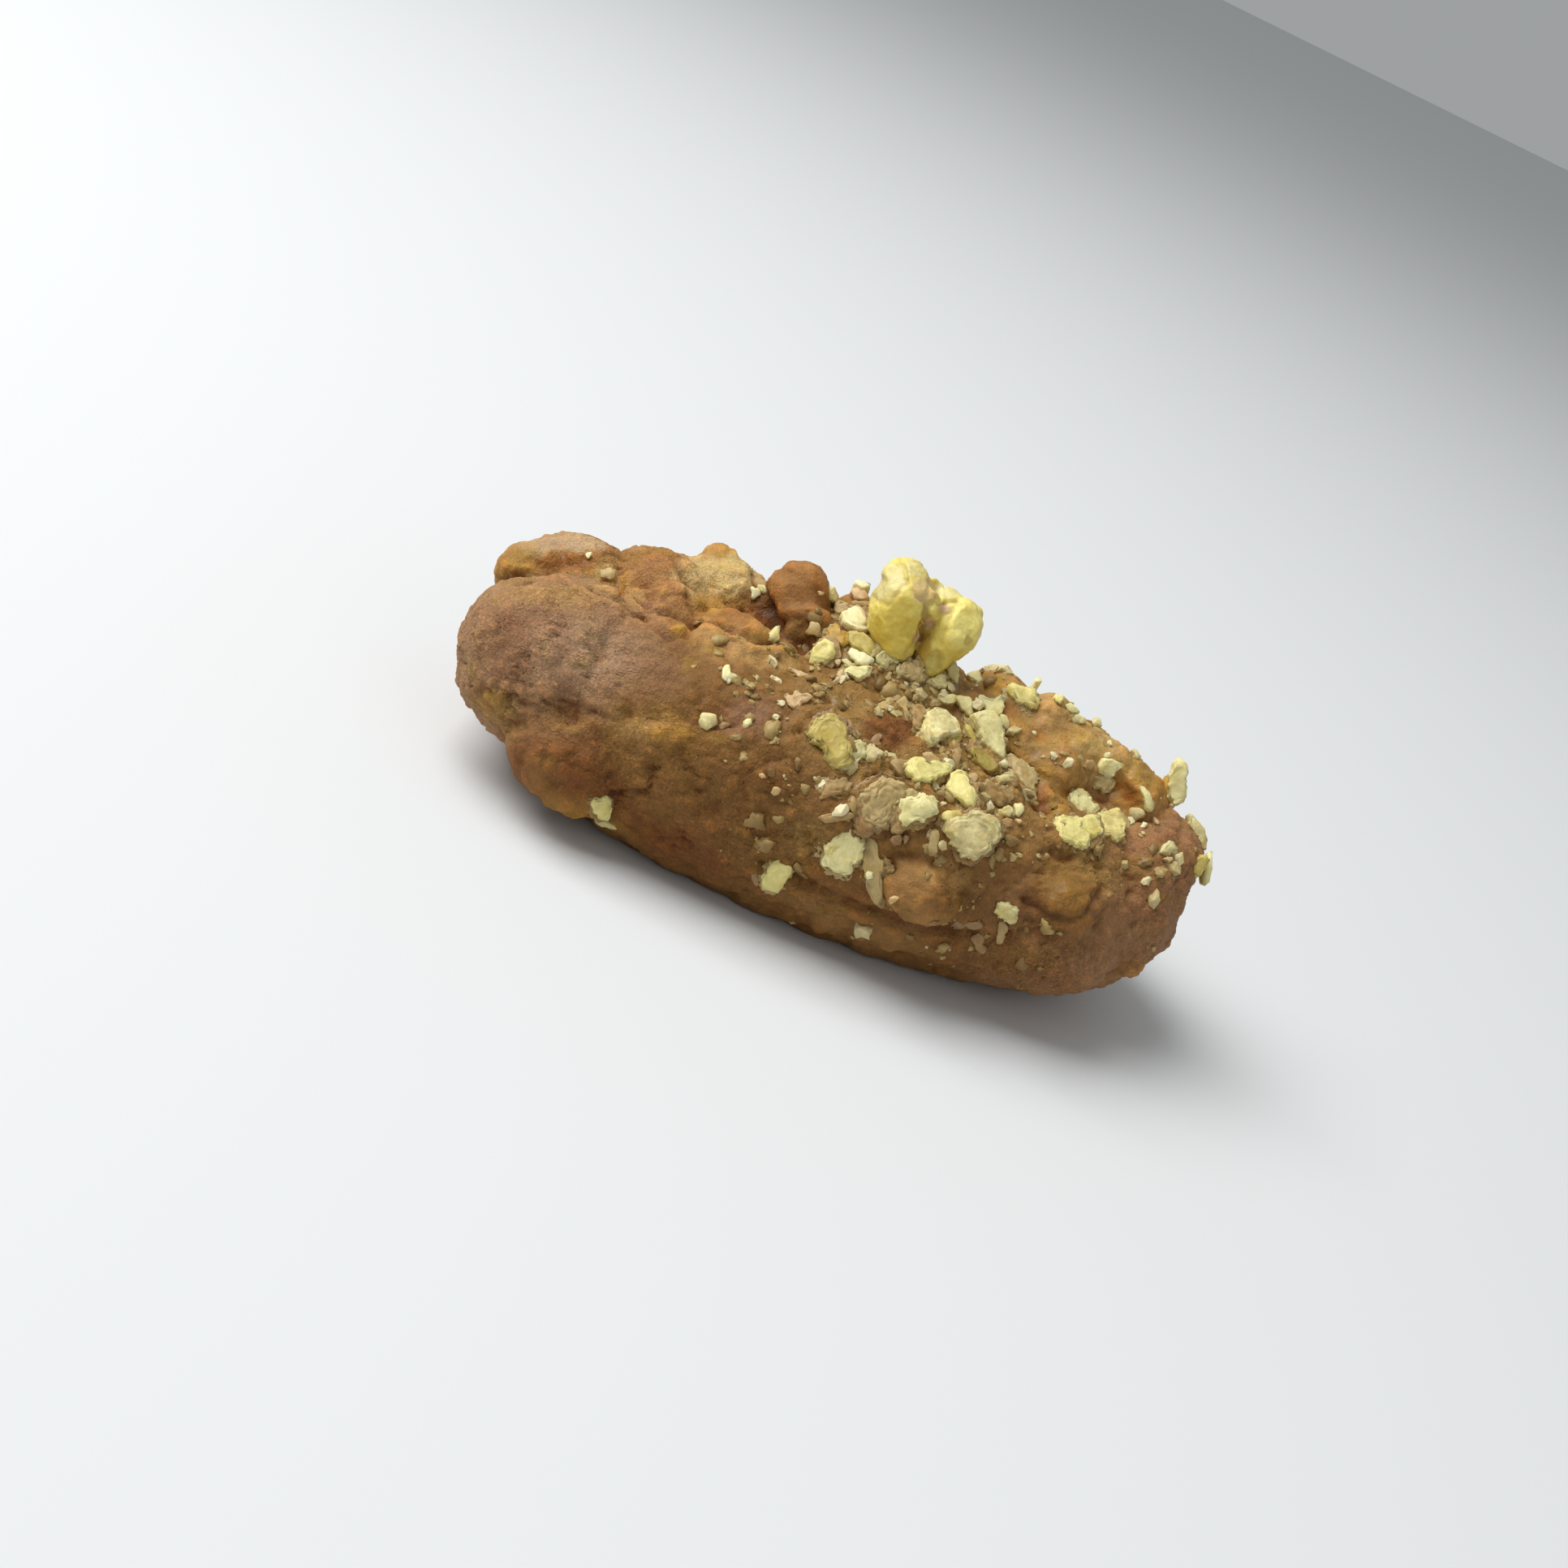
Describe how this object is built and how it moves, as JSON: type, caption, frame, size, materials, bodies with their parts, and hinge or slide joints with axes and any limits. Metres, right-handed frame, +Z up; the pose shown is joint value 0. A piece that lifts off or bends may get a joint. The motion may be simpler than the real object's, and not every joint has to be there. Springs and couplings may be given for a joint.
{
  "type": "melomakarono",
  "caption": "Honey-soaked oval melomakarono biscuit with lumpy browned dough and chopped walnuts, lying on its flat base.",
  "frame": {"origin": "centre of the flat base, under the middle of the loaf", "axes": "+X along the biscuit towards its narrower end, -Y to the side seen in the picture, +Z up from the base"},
  "size_m": [0.0723, 0.0393, 0.0316],
  "materials": {
    "dough": "baked brown dough soaked with honey syrup, softly shiny",
    "walnut": "pale yellow walnut kernel, dull with oily spots"
  },
  "bodies": {
    "root": {"dough": "dough", "walnut_chunk": "walnut"}
  },
  "joints": []
}
